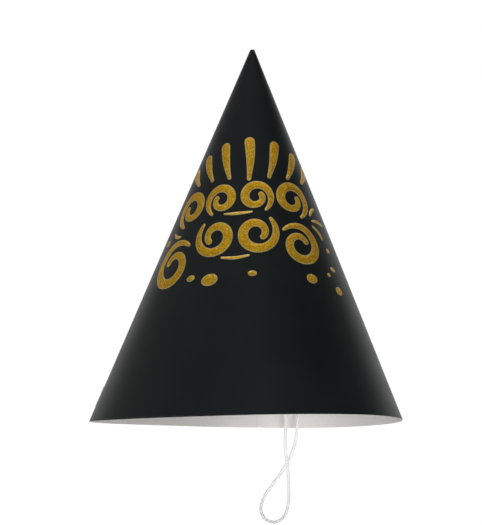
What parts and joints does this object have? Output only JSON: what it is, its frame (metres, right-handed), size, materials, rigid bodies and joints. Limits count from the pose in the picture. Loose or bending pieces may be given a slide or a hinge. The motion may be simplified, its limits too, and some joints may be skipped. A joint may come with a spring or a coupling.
{
  "type": "cone party hat",
  "caption": "Cone-shaped party hat of rolled black card with raised gold glitter scrollwork and a round white chin elastic held by two flat metal barbs",
  "frame": {"origin": "middle of the head opening, in the plane of the rim", "axes": "+Z towards the tip, -Y the printed front, +Y the glued seam, +X the wearer's left"},
  "size_m": [0.15, 0.1505, 0.2303],
  "materials": {
    "coated_card": "satin black coating outside, uncoated white inside",
    "glue": "clear dried adhesive film",
    "metal": "plated, flat pressed",
    "elastic": "white braided cover over a rubber core",
    "gold_glitter": "gold glitter flakes in clear glue"
  },
  "bodies": {
    "hat": {"barb_left": "metal", "barb_right": "metal", "cone_card": "coated_card", "glitter_dot_1": "gold_glitter", "glitter_dot_2": "gold_glitter", "glitter_dot_3": "gold_glitter", "glitter_dot_4": "gold_glitter", "glitter_dot_5": "gold_glitter", "glitter_dot_6": "gold_glitter", "glitter_dot_7": "gold_glitter", "glitter_dot_8": "gold_glitter", "glitter_dot_9": "gold_glitter", "glitter_line_1": "gold_glitter", "glitter_line_2": "gold_glitter", "glitter_ray_1": "gold_glitter", "glitter_ray_2": "gold_glitter", "glitter_ray_3": "gold_glitter", "glitter_ray_4": "gold_glitter", "glitter_ray_5": "gold_glitter", "glitter_ray_6": "gold_glitter", "glitter_ray_7": "gold_glitter", "glitter_scroll_1": "gold_glitter", "glitter_scroll_2": "gold_glitter", "glitter_scroll_3": "gold_glitter", "glitter_scroll_4": "gold_glitter", "glitter_scroll_5": "gold_glitter", "glitter_scroll_6": "gold_glitter", "glitter_scroll_7": "gold_glitter", "glitter_scroll_8": "gold_glitter", "glitter_spark_1": "gold_glitter", "glitter_spark_2": "gold_glitter", "glitter_spark_3": "gold_glitter", "glitter_spark_4": "gold_glitter", "seam_glue": "glue"},
    "strap": {"chin_elastic": "elastic", "gather_knot": "elastic"}
  },
  "joints": [
    {"name": "chin_elastic_swing", "type": "hinge", "parent": "hat", "child": "strap", "pos_m": [0, 0.0061, 0.012], "axis": [1, 0, 0], "range_deg": [-165, 80]}
  ]
}
